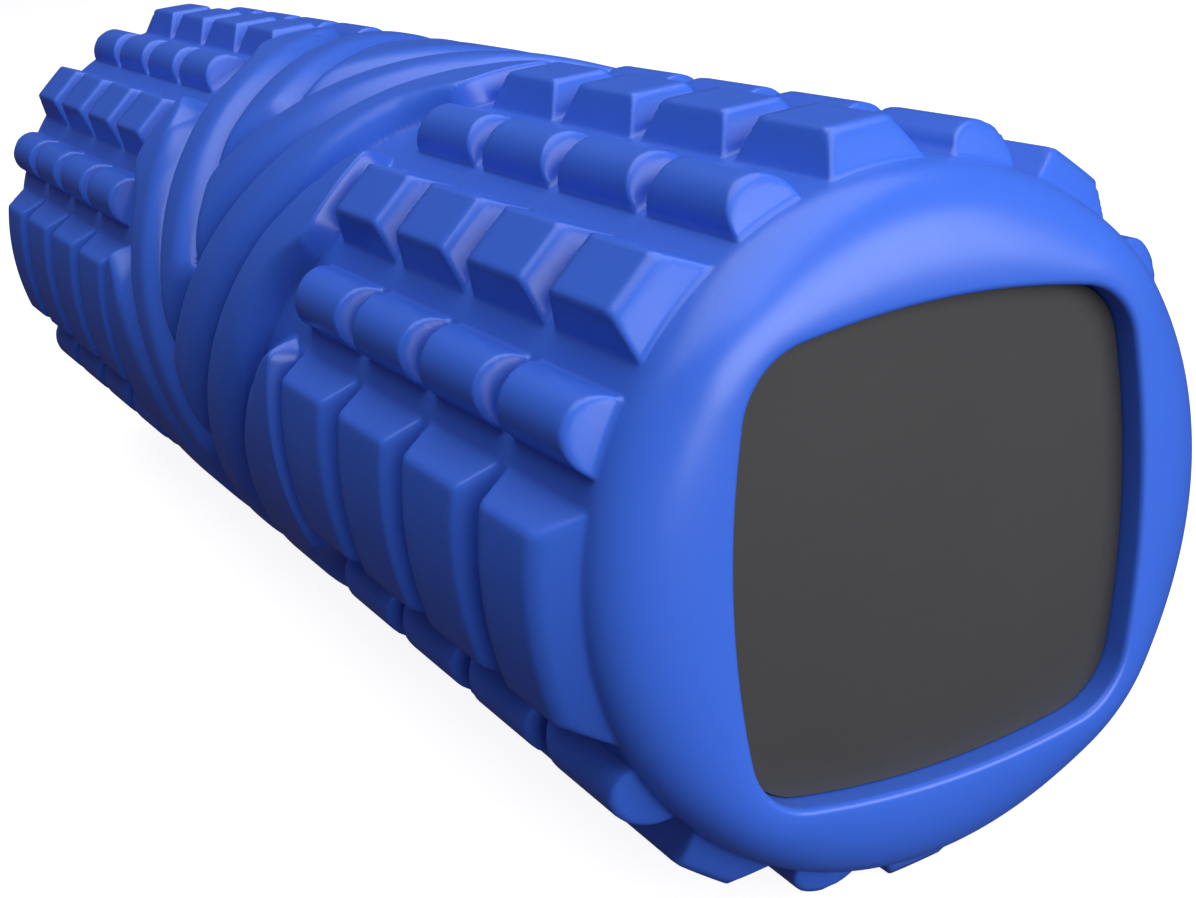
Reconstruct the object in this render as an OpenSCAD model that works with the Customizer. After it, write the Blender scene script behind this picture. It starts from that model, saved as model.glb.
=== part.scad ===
// Textured foam massage roller with a hollow storage core and a pull-out cap in each end.
// Units are millimetres. X runs along the roller, Z is up, and z = 0 is the floor under it.

/* [Roller] */
// Length over the two end rims
roller_l = 454; // [440:1:470]
// Radius of the foam surface between the blocks
base_r = 69; // [68:0.5:72]
// Height of the flat-topped blocks above that surface
block_h = 7.4; // [5:0.1:8]
// Clear gap between one block and the next along the roller
block_gap = 3.7; // [2:0.1:6]
// Length of each rounded end rim
rim_l = 13.8; // [12:0.1:16]
// Half length of the braided middle band, over the blunt ends of its ridges
braid_half_l = 73.6; // [68:0.1:78]

/* [Core] */
// Outer radius of the core tube
core_r = 58; // [57:0.5:59]
// Wall thickness of the core tube
core_wall = 4; // [3.5:0.5:4]
// Depth the end sockets reach into the core tube
socket_depth = 26; // [20:1:40]

/* [End caps] */
// Turn of the square caps against the rows of blocks
cap_turn = 4.4; // [0:0.1:8]
// Depth of the cap face below the end rim
cap_recess = 5.5; // [3:0.5:6]
// Thickness of the cap face
cap_face = 3; // [2:0.5:4]
// Length of the cap skirt behind the face
cap_skirt_l = 22; // [16:1:24]
// Clearance round the cap in its seat
cap_clear = 0.3; // [0.25:0.05:0.5]

/* [Hidden] */
$fn = 96;
EPS = 0.01;

// The flat-topped row under the roller touches the floor.
axis_z = base_r + block_h;

// Rows of blocks round the roller, as angles from the top.
flat_rows = [0, 40, 140, 180, 220, 320];
round_rows = [20, 60, 120, 160, 200, 240, 300, 340];
wide_rows = [90, 270];
flat_base_a = 9;
flat_top_w = 15;
round_row_r = 7.2;
wide_base_a = 19;
wide_top_a = 14.3;
wide_r = base_r + 6.8;
root_depth = 4;

// Positions along the roller, measured from its middle.
half_l = roller_l / 2;
blocks_out = half_l - rim_l;
blocks_in = braid_half_l + block_gap;
blocks_per_half = 4;
block_pitch = (blocks_out - blocks_in + block_gap) / blocks_per_half;
gap_slope = 0.45;
gap_reach = 4;

// Braid: each ridge sets out straight from a flat or wide row, then leans round the roller
// to meet its fellow from the other end in the middle.
ridge_starts = [-9, 31, 71, 131, 171, 211, 251, 311];
ridge_h = 7.2;
crease_h = 2.6;
ridge_side_a = 8;
lean_half_l = 56.2;
lean_twist = 76.5;
braid_slices = 12;
flat_head_a = 10.2;
wide_head_a = 20.2;

// End window: a square with bowed sides and round corners, true arcs all round.
// Every outline of the cap and its seat is parallel to this one.
window_half = 46.5;
corner_c = 29;
corner_r0 = 14.85;
side_r0 = 175;
rim_flat_r = 57;
rim_steps = 14;

// Core and cap layout along the roller.
socket_face = half_l - cap_recess - cap_face;
socket_flange = 5;
tube_end = socket_face - socket_flange;
bore_r = core_r - core_wall;
seat_half = window_half - 3.5;
skirt_half = seat_half - 0.8;
skirt_wall = 2.2;
gasket_w = 3;
gasket_depth = 1.2;
gasket_back = 9;
gasket_half = seat_half - 0.25;

// Turns a profile drawn in XY so that it extrudes along +X, centred on the roller's axis.
module along_x(from_x) {
  translate([from_x, 0, axis_z]) rotate([90, 0, 90]) children();
}

// Square with bowed sides whose half width is given; parallel at every size.
module bowed_square(half) {
  rotate(-cap_turn) bowed_outline(half);
}

module bowed_outline(half) {
  d = half - window_half;
  corner_r = corner_r0 + d;
  side_r = side_r0 + d;
  side_c = side_r0 - window_half;
  // Where a side arc runs into a corner arc.
  reach = side_r / (side_r - corner_r);
  tx = (corner_c + side_c) * reach - side_c;
  ty = corner_c * reach;
  for (sx = [-1, 1], sy = [-1, 1])
    translate([sx * corner_c, sy * corner_c]) circle(r = corner_r);
  intersection() {
    polygon([
      [tx, -ty], [tx + half, 0], [tx, ty],
      [ty, tx], [0, tx + half], [-ty, tx],
      [-tx, ty], [-tx - half, 0], [-tx, -ty],
      [-ty, -tx], [0, -tx - half], [ty, -tx]
    ]);
    for_sides(side_c) circle(r = side_r, $fn = 240);
  }
}

// Intersection of one child copy per side of the square, each set back from its side.
module for_sides(back) {
  intersection() {
    translate([-back, 0]) children();
    translate([back, 0]) children();
    translate([0, -back]) children();
    translate([0, back]) children();
  }
}

// Half outline of a tapered block at height h up its own radius, its side running straight
// from base_half at the foam's surface to top_half at the top.
function side_u(base_half, base_v, top_half, top_v, v) =
  base_half + (top_half - base_half) * (v - base_v) / (top_v - base_v);

// Cross-section of one tapered row, standing at the top of the roller.
// The roots run below the foam's surface.
module tapered_row(base_a, top_half, top_v, cut_v) {
  base_half = base_r * sin(base_a);
  base_v = base_r * cos(base_a);
  root_v = base_v - root_depth;
  root_half = side_u(base_half, base_v, top_half, top_v, root_v);
  cut_half = side_u(base_half, base_v, top_half, top_v, cut_v);
  polygon([
    [-root_half, root_v], [-cut_half, cut_v], [cut_half, cut_v], [root_half, root_v]
  ]);
}

// Outline of the rows of blocks, looking along the roller.
module rows_outline() {
  for (a = flat_rows) rotate(a)
    tapered_row(flat_base_a, flat_top_w / 2, axis_z, axis_z);
  for (a = round_rows) rotate(a)
    translate([0, base_r]) circle(r = round_row_r, $fn = 32);
  for (a = wide_rows) rotate(a)
    intersection() {
      circle(r = wide_r);
      tapered_row(wide_base_a, wide_r * sin(wide_top_a), wide_r * cos(wide_top_a), wide_r + 1);
    }
}

// Ring-shaped cut that parts one block from the next, with sloping walls.
module gap_ring(at_x) {
  along_x(at_x)
    rotate_extrude()
      polygon([
        [base_r - gap_reach, -block_gap / 2 + gap_slope * gap_reach],
        [base_r + 2 * gap_reach, -block_gap / 2 - 2 * gap_slope * gap_reach],
        [base_r + 2 * gap_reach, block_gap / 2 + 2 * gap_slope * gap_reach],
        [base_r - gap_reach, block_gap / 2 - gap_slope * gap_reach]
      ]);
}

// One half of the block field, on the side of sign s, its block ends all sloping.
module block_field(s) {
  difference() {
    along_x(s > 0 ? blocks_in : -blocks_out)
      linear_extrude(height = blocks_out - blocks_in) rows_outline();
    for (i = [0 : blocks_per_half])
      gap_ring(s * (blocks_out - i * block_pitch + block_gap / 2));
  }
}

// Angle where ridge k ends and the next one starts.
function ridge_end(k) = k + 1 < len(ridge_starts) ? ridge_starts[k + 1] : ridge_starts[0] + 360;

function ridge_points() = [
  for (k = [0 : len(ridge_starts) - 1])
    let (lo = ridge_starts[k], hi = ridge_end(k), mid = (lo + hi) / 2)
      for (p = [
        [lo, crease_h], [lo + ridge_side_a / 2, (crease_h + ridge_h) / 2],
        [lo + ridge_side_a, ridge_h], [mid, ridge_h], [hi - ridge_side_a, ridge_h],
        [hi - ridge_side_a / 2, (crease_h + ridge_h) / 2]
      ])
        let (a = p[0] + 90, r = base_r + p[1]) [r * cos(a), r * sin(a)]
];

// Blunt ridge end, as a sector reaching half_a to each side of the top.
module head_sector(half_a) {
  r = base_r + ridge_h;
  polygon(concat([[0, 0]], [for (i = [-3 : 3]) let (a = 90 + half_a * i / 3) [r * cos(a), r * sin(a)]]));
}

// The far half of the braid.
module half_braid() {
  along_x(-lean_half_l)
    linear_extrude(height = lean_half_l + EPS, twist = -lean_twist, slices = braid_slices)
      polygon(ridge_points());
  along_x(-braid_half_l)
    linear_extrude(height = braid_half_l - lean_half_l + 1) {
      for (a = flat_rows) rotate(a) head_sector(flat_head_a);
      for (a = wide_rows) rotate(a) head_sector(wide_head_a);
    }
}

module braid() {
  half_braid();
  mirror([1, 0, 0]) half_braid();
}

// Half profile of the rounded end rim, radius against distance from its root.
function rim_points() = concat(
  [[0, 0]],
  [for (i = [0 : rim_steps])
    let (a = 90 * i / rim_steps)
      [rim_flat_r + (base_r - rim_flat_r) * cos(a), rim_l * sin(a)]],
  [[0, rim_l]]
);

module end_rim() {
  translate([blocks_out, 0, axis_z]) rotate([0, 90, 0])
    rotate_extrude() polygon(rim_points());
}

module foam_sleeve() {
  color([0.20, 0.38, 0.84])
    difference() {
      union() {
        along_x(-blocks_out) cylinder(r = base_r, h = 2 * blocks_out);
        for (s = [-1, 1]) block_field(s);
        braid();
        end_rim();
        mirror([1, 0, 0]) end_rim();
      }
      along_x(-socket_face) cylinder(r = core_r, h = 2 * socket_face);
      along_x(-half_l - 1) linear_extrude(height = roller_l + 2) bowed_square(window_half);
    }
}

module core_tube() {
  color([0.16, 0.16, 0.17])
    along_x(-tube_end)
      difference() {
        cylinder(r = core_r, h = 2 * tube_end);
        translate([0, 0, -1]) cylinder(r = bore_r, h = 2 * tube_end + 2);
      }
}

// Round outside to fill the core tube, bowed-square inside to take the cap.
module end_socket() {
  color([0.22, 0.22, 0.23])
    difference() {
      union() {
        along_x(tube_end) cylinder(r = core_r, h = socket_flange);
        along_x(tube_end - socket_depth) cylinder(r = bore_r, h = socket_depth + EPS);
      }
      along_x(tube_end - socket_depth - 1)
        linear_extrude(height = socket_depth + socket_flange + 2) bowed_square(seat_half);
    }
}

module end_cap() {
  color([0.29, 0.29, 0.29])
    difference() {
      union() {
        along_x(socket_face)
          linear_extrude(height = cap_face) bowed_square(window_half - cap_clear);
        along_x(socket_face - cap_skirt_l)
          linear_extrude(height = cap_skirt_l + EPS) bowed_square(skirt_half);
      }
      along_x(socket_face - cap_skirt_l - 1)
        linear_extrude(height = cap_skirt_l + 1) bowed_square(skirt_half - skirt_wall);
      along_x(socket_face - gasket_back - gasket_w)
        linear_extrude(height = gasket_w)
          difference() {
            bowed_square(skirt_half + 2);
            bowed_square(skirt_half - gasket_depth);
          }
    }
}

module cap_gasket() {
  color([0.10, 0.10, 0.10])
    along_x(socket_face - gasket_back - gasket_w)
      linear_extrude(height = gasket_w)
        difference() {
          bowed_square(gasket_half);
          bowed_square(skirt_half - gasket_depth);
        }
}

module near_end_socket() { end_socket(); }
module near_end_cap() { end_cap(); }
module near_cap_gasket() { cap_gasket(); }
module far_end_socket() { mirror([1, 0, 0]) end_socket(); }
module far_end_cap() { mirror([1, 0, 0]) end_cap(); }
module far_cap_gasket() { mirror([1, 0, 0]) cap_gasket(); }

foam_sleeve();
core_tube();
near_end_socket();
near_end_cap();
near_cap_gasket();
far_end_socket();
far_end_cap();
far_cap_gasket();
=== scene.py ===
import math

import bpy
import numpy as np
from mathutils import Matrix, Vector


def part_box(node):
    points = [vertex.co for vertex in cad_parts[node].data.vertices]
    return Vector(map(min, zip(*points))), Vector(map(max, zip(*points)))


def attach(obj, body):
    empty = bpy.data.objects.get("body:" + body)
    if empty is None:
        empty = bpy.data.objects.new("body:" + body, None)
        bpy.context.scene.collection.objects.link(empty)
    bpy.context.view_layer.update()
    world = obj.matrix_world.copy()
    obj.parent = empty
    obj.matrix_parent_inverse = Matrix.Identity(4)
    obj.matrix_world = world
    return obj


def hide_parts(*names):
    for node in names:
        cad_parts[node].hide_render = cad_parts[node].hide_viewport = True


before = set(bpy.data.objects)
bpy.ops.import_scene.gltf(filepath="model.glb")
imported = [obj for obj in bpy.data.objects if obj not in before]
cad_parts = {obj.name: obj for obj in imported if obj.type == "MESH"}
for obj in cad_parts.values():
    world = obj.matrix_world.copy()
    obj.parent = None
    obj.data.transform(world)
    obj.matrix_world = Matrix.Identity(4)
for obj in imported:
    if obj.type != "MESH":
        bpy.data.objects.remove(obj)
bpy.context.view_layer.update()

MM = 0.001

# Sizes shared with the frame, in millimetres.
sleeve_lo, sleeve_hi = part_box("foam_sleeve")
_, socket_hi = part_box("near_end_socket")
tube_lo, tube_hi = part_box("core_tube")
HALF_L = sleeve_hi.x / MM
AXIS_Z = (sleeve_lo.z + sleeve_hi.z) / 2 / MM
FLAT_R = AXIS_Z                      # axis to the flat block tops, which lie on the floor
BORE_R = (tube_hi.z - tube_lo.z) / 2 / MM + 0.1   # just clear of the core tube
SOCKET_X = socket_hi.x / MM          # where the foam turns in over the socket

# The end window, a square with bowed sides and round corners, and the rim round it.
WINDOW = 46.5                        # half width
WINDOW_SIDE_R = 175.0                # radius of the bowed sides
WINDOW_CORNER_R, WINDOW_CORNER_C = 14.85, 29.0   # round corners, and their centres' x and y
WINDOW_TURN = 4.4                    # turn against the rows of blocks, in degrees
RIM_L = 13.8
LIP = 1.3                            # round edge between the rim's crest and the window

# The rows of blocks, by angle in degrees from the top.
BASE_R = 69.0
UNDER = BASE_R - 5                   # a radius that never shows
GAP = 3.7                            # between two blocks of a row
PER_HALF = 4
BLOCKS_OUT = HALF_L - RIM_L
BLOCKS_IN = 77.3
PITCH = (BLOCKS_OUT - BLOCKS_IN + GAP) / PER_HALF

FLAT_ROWS = (0, 40, 140, 180, 220, 320)
ROUND_ROWS = (20, 60, 120, 160, 200, 240, 300, 340)
WIDE_ROWS = (90, 270)
FLAT_BASE_A, FLAT_TOP_HALF = 8.8, 6.6
WIDE_BASE_A, WIDE_TOP_A, WIDE_R = 19.0, 14.3, BASE_R + 6.8
ROUND_R = 7.2
END_SLOPE = 1.96                     # block ends, rise over run
ROUND_END_SLOPE = 2.4
OUTER_SLOPE, WIDE_OUTER_SLOPE = 1.6, 0.95   # the ends next to the rims
EDGE = 0.9                           # softness of the blocks' edges
FOOT = 0.35                          # softness where a block meets the base

# The braid. Each ridge starts at a flat or wide row and leans round the roller.
RIDGE_STARTS = np.array([-9, 31, 71, 131, 171, 211, 251, 311], float)
LEAN = 94.0                          # degrees round, per base radius along
REACH = 76.5                         # degrees round, from a ridge's head to the middle
BEND = 5.0                           # softness of the bend where the lean begins, in degrees
CREASE_R, RIDGE_R = 71.6, 76.2       # bottoms of the creases, and the crests
RIDGE_SIDE = 6.6                     # breadth of a ridge's sloping side
CREST, FILLET = 2.6, 0.7             # softness of the crests, and of the braid's foot
DIVE = 3.0                           # softness where a ridge runs under the next
HEAD_OUT = BLOCKS_IN - GAP           # where the ridge heads begin
HEAD_CORNER, HEAD_SLOPE, HEAD_EDGE = 6.0, 3.6, 1.1
SHOULDER = 2.2                       # how far a head spreads on its upper side
STEEPER = 1.0                        # slope that a ridge's side gains at its head
HEAD_FROM, HEAD_FULL = 60.0, 70.0    # where a ridge takes on its head's shape
VALLEY_A, VALLEY_IN = 19.8, 46.0     # width between two heads, and where it closes
VALLEY_DIP, DIP_L = 0.4, 12.0        # how far a valley sinks under the creases, and over what
SINK_OUT = 62.0                      # where the creases have sunk to the base
FLANK_HEAD, FLANK_MORE = 3.0, 6.5    # breadth of the round flank at a head, and what it gains
FLANK_FROM, FLANK_L = 3.0, 13.0      # where it begins to gain behind the head, and over what
FLANK_EDGE = 1.2                     # softness between the flank and the crest


def smin(a, b, k):
    """The smaller of two values, rounded over where they are within k of each other."""
    h = np.clip(k - np.abs(a - b), 0, None) / k
    return np.minimum(a, b) - h * h * k / 4


def smax(a, b, k):
    return -smin(-a, -b, k)


def softplus(w, k):
    return k * np.logaddexp(0, w / k)


def fade(v, start, end):
    """0 up to start, 1 from end, and straight between them."""
    return np.clip((v - start) / (end - start), 0, 1)


def wrap(a):
    """Angle in degrees to the range -180 to 180."""
    return (a + 180) % 360 - 180


# ---------------------------------------------------------------- shape of the foam


def side_plane(phi, base_a, top_u, top_v):
    """Radius, by angle from the row's middle, of the sloping plane on the row's side."""
    bu, bv = BASE_R * math.sin(base_a), BASE_R * math.cos(base_a)
    nu, nv = top_v - bv, bu - top_u
    d = nu * bu + nv * bv
    den = nu * np.sin(np.abs(phi)) + nv * np.cos(phi)
    return np.where(np.abs(phi) < 0.8, d / np.maximum(den, 0.1), UNDER)


def flat_row(phi):
    side = side_plane(phi, math.radians(FLAT_BASE_A), FLAT_TOP_HALF, FLAT_R)
    top = FLAT_R / np.maximum(np.cos(phi), 0.2)
    return smin(top, side, EDGE)


def wide_row(phi):
    a = math.radians(WIDE_TOP_A)
    side = side_plane(phi, math.radians(WIDE_BASE_A), WIDE_R * math.sin(a), WIDE_R * math.cos(a))
    return smin(np.full_like(phi, WIDE_R), side, EDGE)


def round_row(phi):
    rest = ROUND_R**2 - (BASE_R * np.sin(phi)) ** 2
    r = BASE_R * np.cos(phi) + np.sqrt(np.clip(rest, 0, None))
    return np.where((rest > 0) & (np.cos(phi) > 0), r, UNDER)


def strips(u):
    """Which ridge an unwound angle falls in, and the angles of the ridge's two sides."""
    turn = np.floor((u - RIDGE_STARTS[0]) / 360)
    v = u - 360 * turn
    i = np.clip(np.searchsorted(RIDGE_STARTS, v, side="right") - 1, 0, len(RIDGE_STARTS) - 1)
    nxt = np.append(RIDGE_STARTS[1:], RIDGE_STARTS[0] + 360)
    return i + len(RIDGE_STARTS) * turn, RIDGE_STARTS[i] + 360 * turn, nxt[i] + 360 * turn


def braid(x, deg):
    """Radius of the braided band, where the ridges of both ends run under each other."""
    ax = np.abs(x)
    s = x / BASE_R
    lean = math.radians(LEAN)
    arc = math.radians(1) * BASE_R
    step = arc / math.sqrt(1 + lean**2)

    def unwound(w):
        """One end's ridges laid straight: angle, ridge, its sides, and breadth per degree."""
        u = deg - softplus(w, BEND)
        slope = lean / (1 + np.exp(-np.clip(w / BEND, -40, 40)))
        return u, *strips(u), arc / np.sqrt(1 + slope**2)

    u_f, k_f, lo_f, hi_f, per_f = unwound(REACH + LEAN * s)
    u_n, k_n, lo_n, hi_n, per_n = unwound(REACH - LEAN * s)

    def on_top(far, near):
        return np.where(k_n < k_f, far, near)

    # Distances across the ridge on top, from its two sides.
    lo = on_top((u_f - lo_f) * per_f, (u_n - lo_n) * per_n)
    hi = on_top((hi_f - u_f) * per_f, (hi_n - u_n) * per_n)
    # Where a ridge ends under the next ridge of the other end.
    end = on_top(lo_f - u_n, hi_n - u_f) * step
    d = smin(np.minimum(lo, hi), np.clip(end, 0, None), DIVE)

    # Towards the heads the creases sink to the base, and open into the valleys of the round rows.
    root = BASE_R + (CREASE_R - BASE_R) * fade(ax, SINK_OUT, VALLEY_IN)
    bed = root - VALLEY_DIP * fade(ax, VALLEY_IN, VALLEY_IN + DIP_L)
    valley = VALLEY_A * np.clip((ax - VALLEY_IN) / (HEAD_OUT - VALLEY_IN), 0, None)
    bank = hi - valley * on_top(per_f, per_n)
    near_head = fade(ax, HEAD_FROM, HEAD_FULL)
    flare = SHOULDER * near_head
    steep = (RIDGE_R - CREASE_R) / RIDGE_SIDE + STEEPER * near_head

    def head(across, along):
        """A ridge cut off by its blunt head, which has round corners."""
        qx = np.clip(HEAD_CORNER - (HEAD_OUT - ax), 0, None)
        qy = np.clip(HEAD_CORNER - across, 0, None)
        return smin(along, BASE_R + HEAD_SLOPE * (HEAD_CORNER - np.hypot(qx, qy)), HEAD_EDGE)

    side = FLANK_HEAD + FLANK_MORE * np.clip((HEAD_OUT - FLANK_FROM - ax) / FLANK_L, 0, 1)
    flank = bed + (RIDGE_R - bed) * np.sin(np.clip(bank / side, 0, 1) * math.pi / 2)
    ridge = smin(smin(root + steep * (d + flare), RIDGE_R, CREST), flank, FLANK_EDGE)
    ridge = head(np.minimum(lo + flare, bank), ridge)
    # The next ridge's shoulder reaches a little way into this valley.
    return np.maximum(ridge, head(flare - hi, root + steep * (flare - hi)))


def block_place(ax):
    """Which block it is, counted from the rim, and how far into its pitch."""
    t = BLOCKS_OUT - ax
    idx = np.clip(np.floor(t / PITCH), 0, PER_HALF - 1)
    return idx, t - idx * PITCH


def surface_radius(x, deg):
    """Radius of the foam between the two rims."""
    idx, local = block_place(np.abs(x))
    r = np.full(x.shape, BASE_R)
    for rows, profile, inner, outer in (
        (FLAT_ROWS, flat_row, END_SLOPE, OUTER_SLOPE),
        (WIDE_ROWS, wide_row, END_SLOPE, WIDE_OUTER_SLOPE),
        (ROUND_ROWS, round_row, ROUND_END_SLOPE, END_SLOPE),
    ):
        end = np.minimum(np.where(idx == 0, outer, inner) * local, inner * (PITCH - GAP - local))
        for a in rows:
            row = profile(np.radians(wrap(deg - a)))
            r = smax(r, smin(row, BASE_R + end, EDGE), FOOT)
    return smax(r, braid(x, deg), FILLET)


def window_radius(deg, grow):
    """Radius of the window's outline, or of one a little larger all round."""
    corner_r, side_r, side_c = WINDOW_CORNER_R + grow, WINDOW_SIDE_R + grow, WINDOW_SIDE_R - WINDOW
    a = np.radians((deg + WINDOW_TURN) % 90)
    a = np.where(a > math.pi / 4, math.pi / 2 - a, a)
    side = -side_c * np.cos(a) + np.sqrt(side_r**2 - (side_c * np.sin(a)) ** 2)
    b = WINDOW_CORNER_C * (np.cos(a) + np.sin(a))
    corner = b + np.sqrt(np.clip(b * b - 2 * WINDOW_CORNER_C**2 + corner_r**2, 0, None))
    # The side arc runs into the corner arc where both give the same point.
    reach = side_r / (side_r - corner_r)
    turn = math.atan2(WINDOW_CORNER_C * reach, (WINDOW_CORNER_C + side_c) * reach - side_c)
    return np.where(a < turn, side, corner)


# ---------------------------------------------------------------- mesh of the foam


def spaced(lo, hi, density):
    """Stations between lo and hi, closer together where density is high."""
    g = np.linspace(lo, hi, 20001)
    w = density(g)
    c = np.concatenate([[0], np.cumsum((w[1:] + w[:-1]) / 2 * np.diff(g))])
    n = int(round(c[-1]))
    return np.interp(np.linspace(0, c[-1], n + 1), c, g)


def hump(distance, width):
    """1 in the middle and 0 well beyond the width, with a flat top."""
    return np.exp(-(distance / width) ** 4)


def x_density(x):
    """Rings per millimetre, more at the blocks' ends and in the braid, and most at its heads."""
    ax = np.abs(x)
    _, local = block_place(ax)

    def per_mm(step, fine_step, near):
        return 1 / step + (1 / fine_step - 1 / step) * near

    blocks = per_mm(2.6, 0.55, hump(np.minimum(local, PITCH - GAP - local), 4.0))
    band = per_mm(0.85, 0.3, hump(ax - HEAD_OUT + 2.5, 3.5))
    return np.where(ax < BLOCKS_IN + 1, band, blocks)


def angle_density(deg):
    """Points per degree, more along the sides of each row."""
    d = np.ones(deg.shape)
    for rows, side_a, width, extra in (
        (FLAT_ROWS, 7.5, 3.4, 1.2),
        (ROUND_ROWS, 5.6, 1.2, 1.6),
        (WIDE_ROWS, 16.8, 3.2, 0.9),
    ):
        for a in rows:
            d = d + extra * hump(np.abs(wrap(deg - a)) - side_a, width)
    return d


def quarter(n):
    """The angles of n steps round a quarter circle."""
    return np.radians(np.linspace(0, 90, n + 1)[1:])


def rings():
    """Closed skin of the sleeve: the angles, and a list of (x, radii) rings."""
    deg = spaced(-180, 180, angle_density)[:-1]
    xs = spaced(-BLOCKS_OUT, BLOCKS_OUT, x_density)
    body = surface_radius(*np.meshgrid(xs, deg, indexing="ij"))
    crest = window_radius(deg, LIP)
    wall = window_radius(deg, 0.0)
    bore = np.full_like(deg, BORE_R)
    near = []
    for a in quarter(26):
        near.append((BLOCKS_OUT + RIM_L * math.sin(a), crest + (BASE_R - crest) * math.cos(a)))
    for a in quarter(7):
        near.append((HALF_L - LIP * (1 - math.cos(a)), crest - (crest - wall) * math.sin(a)))
    near += [(x, wall) for x in np.linspace(HALF_L - LIP, SOCKET_X, 6)[1:]]
    near.append((SOCKET_X, bore))
    inside = [(x, bore) for x in np.linspace(SOCKET_X, -SOCKET_X, 9)[1:-1]]
    return deg, [*zip(xs, body)] + near + inside + [(-x, r) for x, r in reversed(near)]


def foam_mesh():
    """The rings joined by quads, round the roller and back to the first ring."""
    deg, stack = rings()
    n, m = len(deg), len(stack)
    a = np.radians(deg)
    co = np.zeros((m, n, 3))
    for i, (x, r) in enumerate(stack):
        co[i, :, 0] = x
        co[i, :, 1] = -r * np.sin(a)
        co[i, :, 2] = AXIS_Z + r * np.cos(a)
    i = np.arange(m)[:, None]
    j = np.arange(n)[None, :]
    i2, j2 = (i + 1) % m, (j + 1) % n
    faces = np.stack([i * n + j, i2 * n + j, i2 * n + j2, i * n + j2], -1).reshape(-1, 4)
    mesh = bpy.data.meshes.new("foam_skin")
    mesh.vertices.add(m * n)
    mesh.vertices.foreach_set("co", (co.reshape(-1) * MM).astype(np.float32))
    mesh.loops.add(faces.size)
    mesh.loops.foreach_set("vertex_index", faces.reshape(-1).astype(np.int32))
    mesh.polygons.add(len(faces))
    mesh.polygons.foreach_set("loop_start", np.arange(0, faces.size, 4, dtype=np.int32))
    mesh.polygons.foreach_set("use_smooth", np.ones(len(faces), bool))
    mesh.update(calc_edges=True)
    mesh.validate()
    return mesh


# ---------------------------------------------------------------- materials


DRIFT_SCALE, CELL_SCALE = 9.0, 0.22  # of the colour drift, and of the cells against the grain
UNEVEN = 0.05                        # how far the roughness strays either way


def new_material(name):
    mat = bpy.data.materials.new(name)
    mat.use_nodes = True
    return mat, mat.node_tree.nodes["Principled BSDF"]


def noise(nt, coords, scale, detail, rough):
    """Fac socket of a noise texture."""
    n = nt.nodes.new("ShaderNodeTexNoise")
    n.inputs["Scale"].default_value = scale
    n.inputs["Detail"].default_value = detail
    n.inputs["Roughness"].default_value = rough
    nt.links.new(coords, n.inputs["Vector"])
    return n.outputs["Fac"]


def bumps(nt, bsdf, layers):
    """Chain of bump nodes, each (height socket, strength, distance in metres)."""
    normal = None
    for height, strength, distance in layers:
        b = nt.nodes.new("ShaderNodeBump")
        b.inputs["Strength"].default_value = strength
        b.inputs["Distance"].default_value = distance
        nt.links.new(height, b.inputs["Height"])
        if normal:
            nt.links.new(normal, b.inputs["Normal"])
        normal = b.outputs["Normal"]
    nt.links.new(normal, bsdf.inputs["Normal"])


def moulded(name, dark, light, rough, grain, grain_depth):
    """A moulded skin: slow colour drift, fine grain on coarser cells, uneven roughness."""
    mat, bsdf = new_material(name)
    nt = mat.node_tree
    coords = nt.nodes.new("ShaderNodeTexCoord").outputs["Object"]
    drift = noise(nt, coords, DRIFT_SCALE, 4.0, 0.55)
    fine = noise(nt, coords, grain, 2.0, 0.6)
    cell = noise(nt, coords, grain * CELL_SCALE, 3.0, 0.55)
    colour = nt.nodes.new("ShaderNodeValToRGB")
    for element, position, rgb in zip(colour.color_ramp.elements, (0.3, 0.7), (dark, light)):
        element.position, element.color = position, (*rgb, 1)
    nt.links.new(drift, colour.inputs["Fac"])
    nt.links.new(colour.outputs["Color"], bsdf.inputs["Base Color"])
    stray = nt.nodes.new("ShaderNodeMapRange")
    stray.inputs["To Min"].default_value = rough - UNEVEN
    stray.inputs["To Max"].default_value = rough + UNEVEN
    nt.links.new(cell, stray.inputs["Value"])
    nt.links.new(stray.outputs["Result"], bsdf.inputs["Roughness"])
    bumps(nt, bsdf, [(cell, 0.25, grain_depth * 3), (fine, 0.35, grain_depth)])
    return mat


def dress(obj, mat):
    obj.data.materials.clear()
    obj.data.materials.append(mat)


foam_mat = moulded(
    "eva_foam", (0.040, 0.133, 0.655), (0.046, 0.149, 0.715), 0.32, 900.0, 0.00003
)
cap_mat = moulded(
    "cap_plastic", (0.0385, 0.038, 0.0375), (0.045, 0.0445, 0.044), 0.5, 2600.0, 0.00004
)
core_mat = moulded(
    "core_plastic", (0.020, 0.020, 0.021), (0.032, 0.032, 0.034), 0.45, 900.0, 0.0001
)
socket_mat = moulded(
    "socket_plastic", (0.028, 0.028, 0.029), (0.040, 0.040, 0.042), 0.42, 1800.0, 0.00005
)
gasket_mat = moulded(
    "gasket_rubber", (0.010, 0.010, 0.010), (0.018, 0.018, 0.018), 0.6, 1400.0, 0.00008
)

for node, mat in (
    ("core_tube", core_mat),
    ("near_end_socket", socket_mat),
    ("far_end_socket", socket_mat),
    ("near_end_cap", cap_mat),
    ("far_end_cap", cap_mat),
    ("near_cap_gasket", gasket_mat),
    ("far_cap_gasket", gasket_mat),
):
    dress(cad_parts[node], mat)


# ---------------------------------------------------------------- the foam


def new_object(name, data):
    obj = bpy.data.objects.new(name, data)
    bpy.context.scene.collection.objects.link(obj)
    return obj


foam = new_object("foam_skin", foam_mesh())
dress(foam, foam_mat)
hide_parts("foam_sleeve")
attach(foam, "roller")

# ---------------------------------------------------------------- stage, lights, camera

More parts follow.
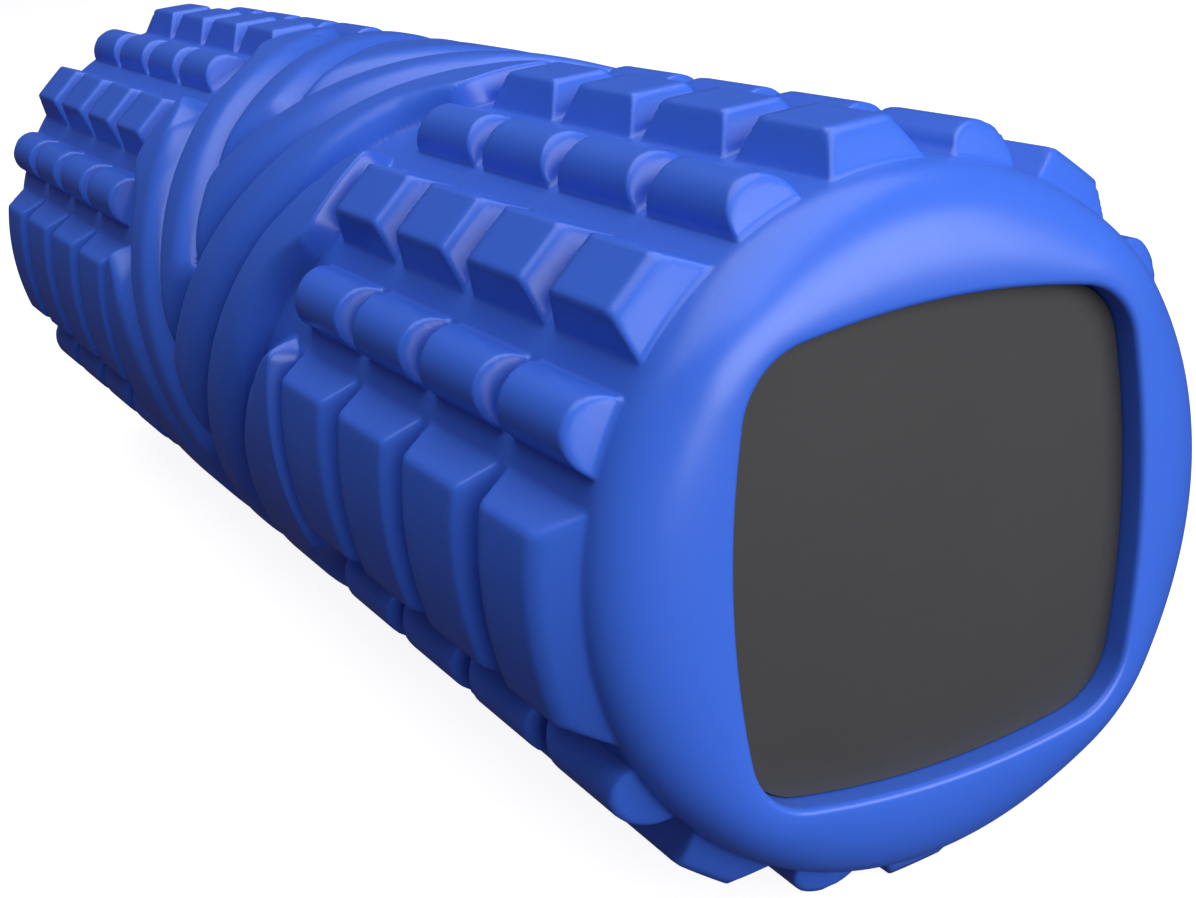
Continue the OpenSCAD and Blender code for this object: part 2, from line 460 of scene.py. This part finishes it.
FLOOR_HALF = 15.0
floor_mesh = bpy.data.meshes.new("floor")
floor_mesh.from_pydata(
    [(x * FLOOR_HALF, y * FLOOR_HALF, sleeve_lo.z) for x, y in ((-1, -1), (1, -1), (1, 1), (-1, 1))],
    [],
    [(0, 1, 2, 3)],
)
floor = new_object("floor", floor_mesh)
floor_mat, floor_bsdf = new_material("floor")
floor_bsdf.inputs["Base Color"].default_value = (0.35, 0.35, 0.355, 1)
floor_bsdf.inputs["Roughness"].default_value = 0.9
floor_bsdf.inputs["Emission Color"].default_value = (1, 1, 1, 1)
floor_bsdf.inputs["Emission Strength"].default_value = 0.9
dress(floor, floor_mat)
floor.visible_diffuse = False
floor.visible_glossy = False

world = bpy.data.worlds.new("studio")
bpy.context.scene.world = world
world.use_nodes = True
background = world.node_tree.nodes["Background"]
background.inputs["Color"].default_value = (0.8, 0.75, 1.5, 1)
background.inputs["Strength"].default_value = 0.055

middle = Vector((0, 0, AXIS_Z * MM))


def area(name, offset, size, power):
    """Area light that faces the roller's middle, and isn't seen by the camera."""
    light = bpy.data.lights.new(name, "AREA")
    light.shape = "RECTANGLE"
    light.size, light.size_y = size
    light.energy = power
    obj = new_object(name, light)
    obj.location = middle + Vector(offset)
    obj.rotation_euler = (middle - obj.location).to_track_quat("-Z", "Y").to_euler()
    obj.visible_camera = False
    return obj


area("front_key", (1.62, 0.34, 0.47), (2.1, 1.05), 32)
area("top_soft", (0.1, -0.1, 1.7), (2.2, 2.2), 31.5)
back_fill = area("back_fill", (-1.6, 0.5, 0.7), (1.6, 1.0), 5)
back_fill.visible_glossy = False

# The camera, at the photograph's place and angle.
cam_data = bpy.data.cameras.new("camera")
cam_data.sensor_width = 36
cam_data.lens = 56.45
cam_data.clip_start = 0.02
cam = new_object("camera", cam_data)
cam.location = (0.4781, -0.1935, 0.1414 + AXIS_Z * MM)
cam.rotation_euler = (math.radians(69.779), math.radians(6.980), math.radians(61.003))
bpy.context.scene.camera = cam
bpy.context.scene.view_settings.view_transform = "Standard"
